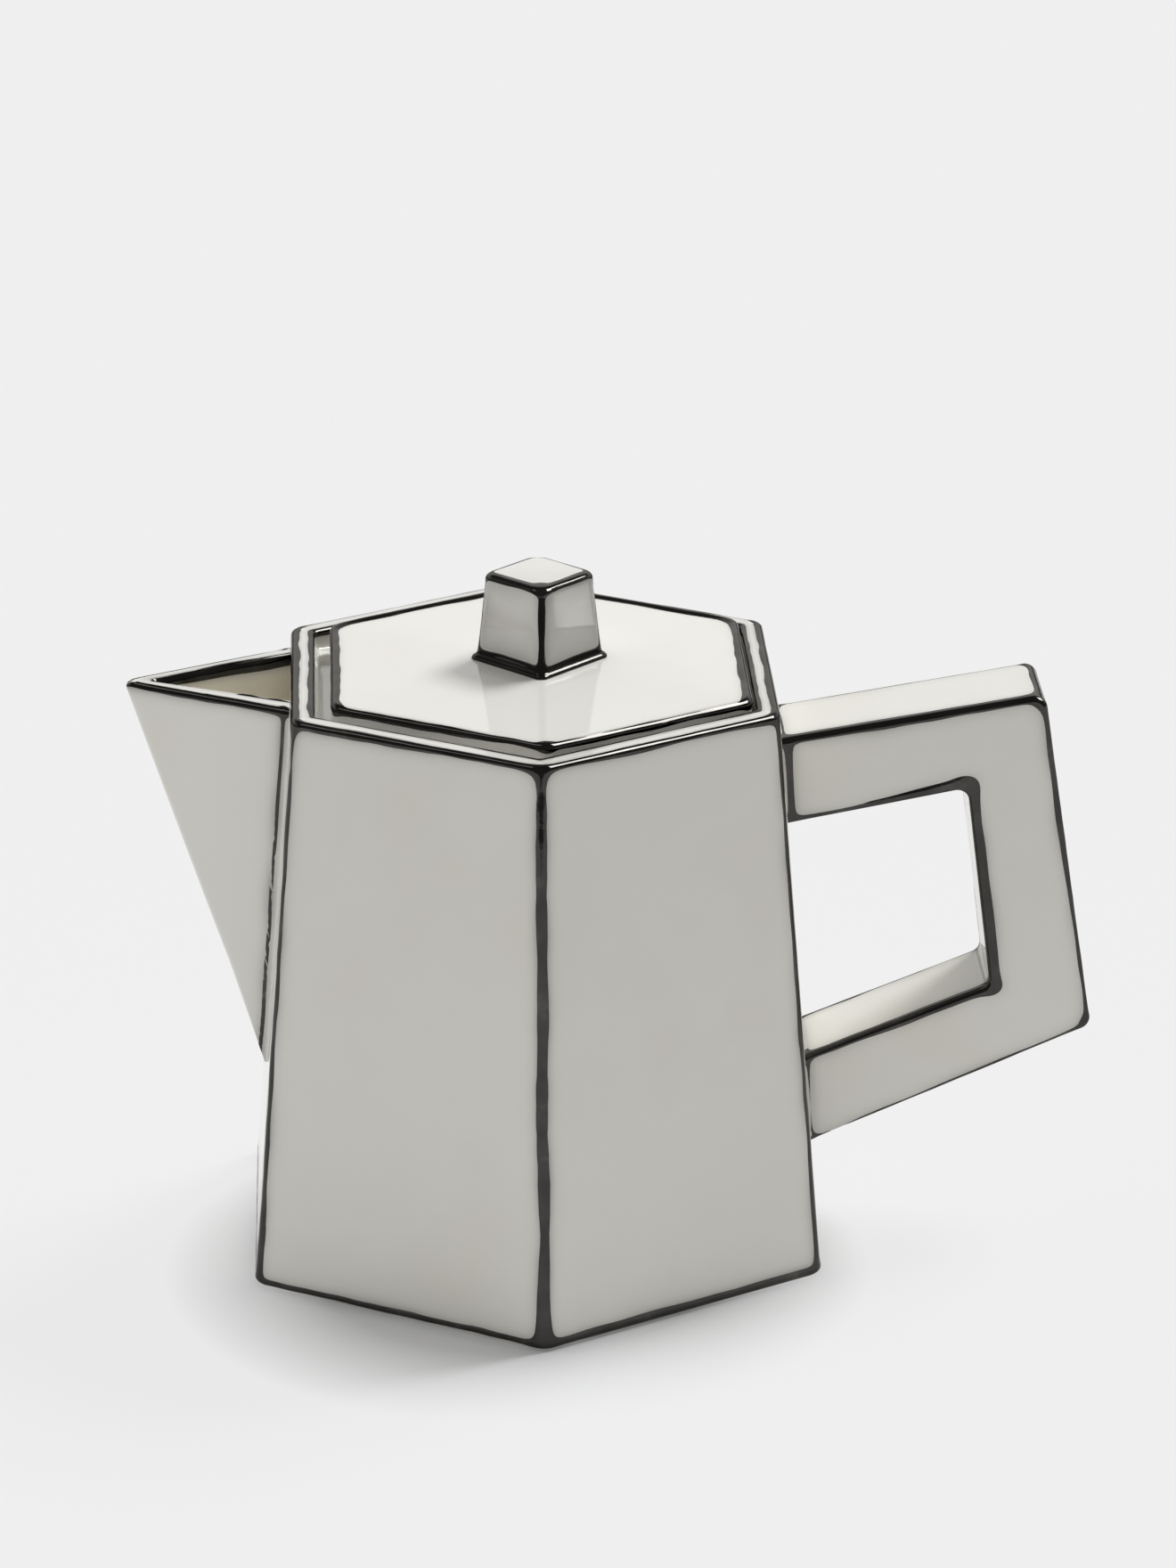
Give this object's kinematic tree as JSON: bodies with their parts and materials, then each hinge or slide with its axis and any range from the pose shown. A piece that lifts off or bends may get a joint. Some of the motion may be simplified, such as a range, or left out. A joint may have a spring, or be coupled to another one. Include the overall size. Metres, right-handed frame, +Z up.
{
  "type": "teapot",
  "caption": "Tapered hexagonal porcelain teapot with an open V-shaped spout, an angular handle, a lift-off lid with a square knob, and silver lustre lines along its edges.",
  "frame": {"origin": "centre of the hexagonal base, on the plane that the pot stands on", "axes": "+Z up, +X from the body's axis to the handle, -X to the spout; two corners of the hexagon face +Y and -Y"},
  "size_m": [0.2294, 0.1544, 0.1645],
  "materials": {
    "glaze": "glossy warm white glaze on porcelain",
    "lustre": "dark, glossy fired silver lustre, hand painted"
  },
  "bodies": {
    "pot": {"body": "glaze", "spout": "glaze", "handle": "glaze", "body_lines": "lustre", "rim_inner_line": "lustre", "spout_lines": "lustre", "spout_seam_line": "lustre", "handle_lines": "lustre", "handle_seam_line": "lustre"},
    "lid_set": {"lid": "glaze", "lid_flange": "glaze", "knob": "glaze", "lid_line": "lustre", "knob_lines": "lustre"}
  },
  "joints": [
    {"name": "lid_lift", "type": "slide", "parent": "pot", "child": "lid_set", "axis": [0, 0, 1], "range_m": [0, 0.06]}
  ]
}
